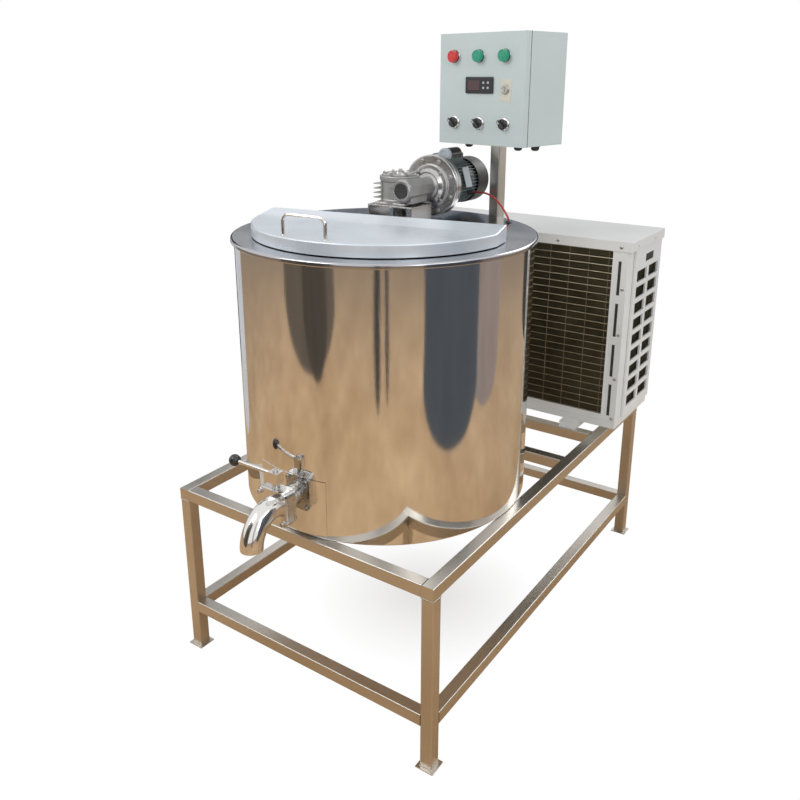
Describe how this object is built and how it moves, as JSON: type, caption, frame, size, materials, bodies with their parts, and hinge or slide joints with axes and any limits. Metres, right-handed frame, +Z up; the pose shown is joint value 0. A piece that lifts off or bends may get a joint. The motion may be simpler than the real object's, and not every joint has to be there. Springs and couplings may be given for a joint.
{
  "type": "bulk milk tank",
  "caption": "Small round bulk milk cooling tank on a square-tube stand, with hinged front lid, agitator gearmotor, control box on a post, butterfly outlet valve and air-cooled condensing unit.",
  "frame": {"origin": "centre of the footprint of the bounding box, on the floor", "axes": "+Z up; -Y the front, with the outlet valve and the lid; +X the right when seen from the front; the condensing unit stands at the +Y end"},
  "size_m": [0.7986, 1.354, 1.542],
  "materials": {
    "brushed_steel": "satin",
    "polished_steel": "polished",
    "satin_steel": "satin",
    "foam": "matte",
    "cast_aluminium": "satin",
    "motor_paint": "satin",
    "black_plastic": "satin",
    "black_enamel": "satin",
    "box_paint": "satin",
    "red_plastic": "gloss",
    "green_plastic": "gloss",
    "cabinet_paint": "satin",
    "coil_fins": "satin",
    "bronze": "satin",
    "cable_jacket": "satin",
    "lagging": "matte",
    "evaporator_plate": "satin"
  },
  "bodies": {
    "tank_on_stand": {"compressor": "black_enamel", "condenser_base": "cabinet_paint", "condenser_cabinet": "cabinet_paint", "condenser_coil": "coil_fins", "condenser_fan_guard": "cabinet_paint", "condenser_fan_motor": "motor_paint", "condenser_side_grille": "cabinet_paint", "condenser_top_cover": "cabinet_paint", "control_box": "box_paint", "cross_member_condenser": "brushed_steel", "cross_member_tank": "brushed_steel", "drive_bridge": "satin_steel", "evaporator_jacket": "evaporator_plate", "gearbox_cover": "cast_aluminium", "gearbox_housing": "cast_aluminium", "inner_vessel": "satin_steel", "insulation_foam": "foam", "leg_front_left": "brushed_steel", "leg_front_right": "brushed_steel", "leg_rear_left": "brushed_steel", "leg_rear_right": "brushed_steel", "lid_hinge": "brushed_steel", "low_rail_front": "brushed_steel", "low_rail_left": "brushed_steel", "low_rail_rear": "brushed_steel", "low_rail_right": "brushed_steel", "motor_cable": "cable_jacket", "motor_fan_cowl": "black_enamel", "motor_frame": "motor_paint", "outlet_elbow": "polished_steel", "outlet_pipe": "satin_steel", "post": "brushed_steel", "refrigerant_lineset": "lagging", "tank_deck": "polished_steel", "tank_jacket": "polished_steel", "top_rail_front": "brushed_steel", "top_rail_left": "brushed_steel", "top_rail_rear": "brushed_steel", "top_rail_right": "brushed_steel", "valve_body": "satin_steel"},
    "lid": {"front_lid": "satin_steel", "lid_handle": "polished_steel"},
    "valve": {"valve_disc": "satin_steel", "valve_lever": "polished_steel", "valve_knob": "black_plastic"},
    "box_door": {"control_box_door": "box_paint", "temperature_controller": "black_plastic"},
    "stop_button": {"stop_button": "red_plastic"},
    "start_button_mixer": {"start_button_mixer": "green_plastic"},
    "start_button_cooling": {"start_button_cooling": "green_plastic"},
    "selector_left": {"selector_left": "black_plastic"},
    "selector_middle": {"selector_middle": "black_plastic"},
    "selector_right": {"selector_right": "black_plastic"},
    "door_lock": {"door_lock": "satin_steel"},
    "agitator": {"agitator_shaft": "satin_steel", "agitator_paddle": "satin_steel", "worm_wheel": "bronze"},
    "drive_motor": {"worm_shaft": "bronze", "motor_rotor": "motor_paint"},
    "condenser_fan": {"condenser_fan": "black_plastic"}
  },
  "joints": [
    {"name": "lid_hinge", "type": "hinge", "parent": "tank_on_stand", "child": "lid", "pos_m": [-0.01545, -0.18089, 1.0982], "axis": [-0.9848, -0.1736, 0], "range_deg": [0, 100]},
    {"name": "valve_turn", "type": "hinge", "parent": "tank_on_stand", "child": "valve", "pos_m": [-0.02875, -0.5686, 0.545], "axis": [0, 0, 1], "range_deg": [0, 90]},
    {"name": "box_door_hinge", "type": "hinge", "parent": "tank_on_stand", "child": "box_door", "pos_m": [-0.05012, 0.14073, 1.4095], "axis": [0, 0, -1], "range_deg": [0, 120]},
    {"name": "stop_button_press", "type": "slide", "parent": "box_door", "child": "stop_button", "axis": [0.1736, 0.9848, 0], "range_m": [0, 0.004], "stiffness_N_per_m": 400},
    {"name": "start_button_mixer_press", "type": "slide", "parent": "box_door", "child": "start_button_mixer", "axis": [0.1736, 0.9848, 0], "range_m": [0, 0.004], "stiffness_N_per_m": 400},
    {"name": "start_button_cooling_press", "type": "slide", "parent": "box_door", "child": "start_button_cooling", "axis": [0.1736, 0.9848, 0], "range_m": [0, 0.004], "stiffness_N_per_m": 400},
    {"name": "selector_left_turn", "type": "hinge", "parent": "box_door", "child": "selector_left", "pos_m": [-0.00253, 0.11406, 1.33], "axis": [0.1736, 0.9848, 0], "range_deg": [0, 90]},
    {"name": "selector_middle_turn", "type": "hinge", "parent": "box_door", "child": "selector_middle", "pos_m": [0.07527, 0.10035, 1.33], "axis": [0.1736, 0.9848, 0], "range_deg": [0, 90]},
    {"name": "selector_right_turn", "type": "hinge", "parent": "box_door", "child": "selector_right", "pos_m": [0.15307, 0.08663, 1.33], "axis": [0.1736, 0.9848, 0], "range_deg": [0, 90]},
    {"name": "door_lock_turn", "type": "hinge", "parent": "box_door", "child": "door_lock", "pos_m": [0.15405, 0.08645, 1.411], "axis": [0.1736, 0.9848, 0], "range_deg": [0, 90]},
    {"name": "motor_spin", "type": "hinge", "parent": "tank_on_stand", "child": "drive_motor", "pos_m": [-0.03475, -0.0275, 1.173], "axis": [0, 1, 0], "continuous": true},
    {"name": "agitator_spin", "type": "hinge", "parent": "tank_on_stand", "child": "agitator", "pos_m": [-0.07475, -0.0275, 1.173], "axis": [0, 0, 1], "continuous": true},
    {"name": "condenser_fan_spin", "type": "hinge", "parent": "tank_on_stand", "child": "condenser_fan", "pos_m": [0.12875, 0.6015, 0.7584], "axis": [0, 1, 0], "continuous": true}
  ],
  "couplings": [
    {"joint": "agitator_spin", "follows": "motor_spin", "ratio": 0.033333}
  ]
}
